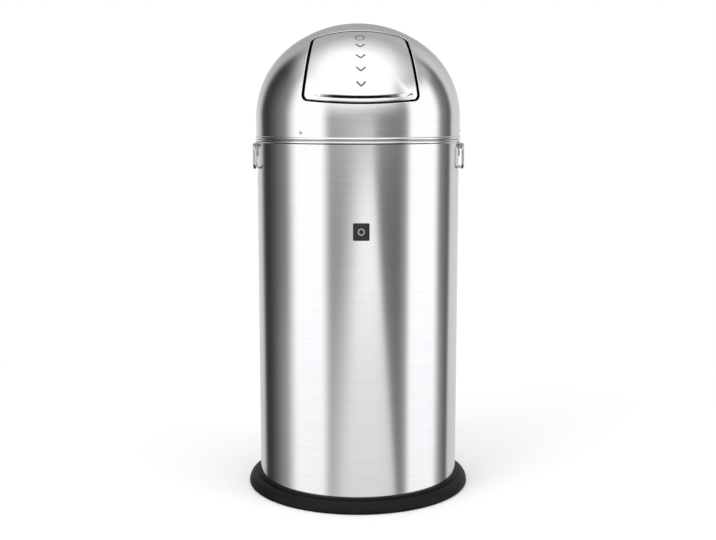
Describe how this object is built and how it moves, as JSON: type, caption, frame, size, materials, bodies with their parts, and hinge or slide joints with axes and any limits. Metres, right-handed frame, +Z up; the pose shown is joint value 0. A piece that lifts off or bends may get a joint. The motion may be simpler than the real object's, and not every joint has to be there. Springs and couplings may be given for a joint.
{
  "type": "push-flap waste bin",
  "caption": "Tall round stainless steel waste bin with a lift-off domed lid, a sprung push flap, side handles, an inner liner with a bail, and a rubber foot ring.",
  "frame": {"origin": "centre of the foot ring's underside, on the floor", "axes": "+Z up, -Y towards the front where the flap is, +X to the right seen from the front"},
  "size_m": [0.3629, 0.363, 0.75],
  "materials": {
    "brushed_steel": "fine brushed stainless, satin",
    "polished_steel": "mirror polished stainless",
    "galvanised": "hot-dip galvanised, spangled",
    "wire_steel": "bright drawn wire",
    "bracket_steel": "plain pressed stainless",
    "foot_rubber": "satin black rubber",
    "buffer_rubber": "matt black rubber",
    "badge_dark": "dark satin coating"
  },
  "bodies": {
    "bin": {"outer_shell": "brushed_steel", "bottom_plate": "galvanised", "base_ring": "foot_rubber", "badge_plate": "badge_dark", "handle_rivets": "wire_steel", "handle_bracket_left": "bracket_steel", "handle_bracket_right": "bracket_steel"},
    "left_handle": {"carry_handle_left": "wire_steel"},
    "right_handle": {"carry_handle_right": "wire_steel"},
    "liner": {"liner_bucket": "galvanised", "liner_bottom": "galvanised", "ear_rivets": "galvanised", "liner_ear_left": "galvanised", "liner_ear_right": "galvanised"},
    "bail": {"liner_bail": "wire_steel"},
    "lid": {"dome_shell": "brushed_steel", "lid_collar": "bracket_steel", "collar_rivets": "wire_steel", "hinge_bracket_left": "bracket_steel", "hinge_bracket_right": "bracket_steel", "hinge_pin": "wire_steel", "pin_clips": "wire_steel", "torsion_spring_left": "wire_steel", "torsion_spring_right": "wire_steel"},
    "flap": {"flap_panel": "polished_steel", "flap_lug_left": "bracket_steel", "flap_lug_right": "bracket_steel", "flap_stop_left": "bracket_steel", "flap_stop_right": "bracket_steel", "stop_buffers": "buffer_rubber"}
  },
  "joints": [
    {"name": "lid_lift", "type": "slide", "parent": "bin", "child": "lid", "axis": [0, 0, 1], "range_m": [0, 0.8]},
    {"name": "flap_swing", "type": "hinge", "parent": "lid", "child": "flap", "pos_m": [0, -0.06152, 0.71196], "axis": [1, 0, 0], "range_deg": [0, 65], "stiffness_Nm_per_rad": 0.25, "springref_deg": -51.57, "deforming": ["torsion_spring_left", "torsion_spring_right"]},
    {"name": "liner_lift", "type": "slide", "parent": "bin", "child": "liner", "axis": [0, 0, 1], "range_m": [0, 0.56]},
    {"name": "bail_swing", "type": "hinge", "parent": "liner", "child": "bail", "pos_m": [0, 0, 0.5463], "axis": [1, 0, 0], "range_deg": [0, 180]},
    {"name": "left_handle_swing", "type": "hinge", "parent": "bin", "child": "left_handle", "pos_m": [-0.1656, 0, 0.5584], "axis": [0, 1, 0], "range_deg": [0, 100]},
    {"name": "right_handle_swing", "type": "hinge", "parent": "bin", "child": "right_handle", "pos_m": [0.1656, 0, 0.5584], "axis": [0, -1, 0], "range_deg": [0, 100]}
  ],
  "couplings": [
    {"joint": "liner_lift", "follows": "lid_lift", "ratio": 0.7}
  ]
}
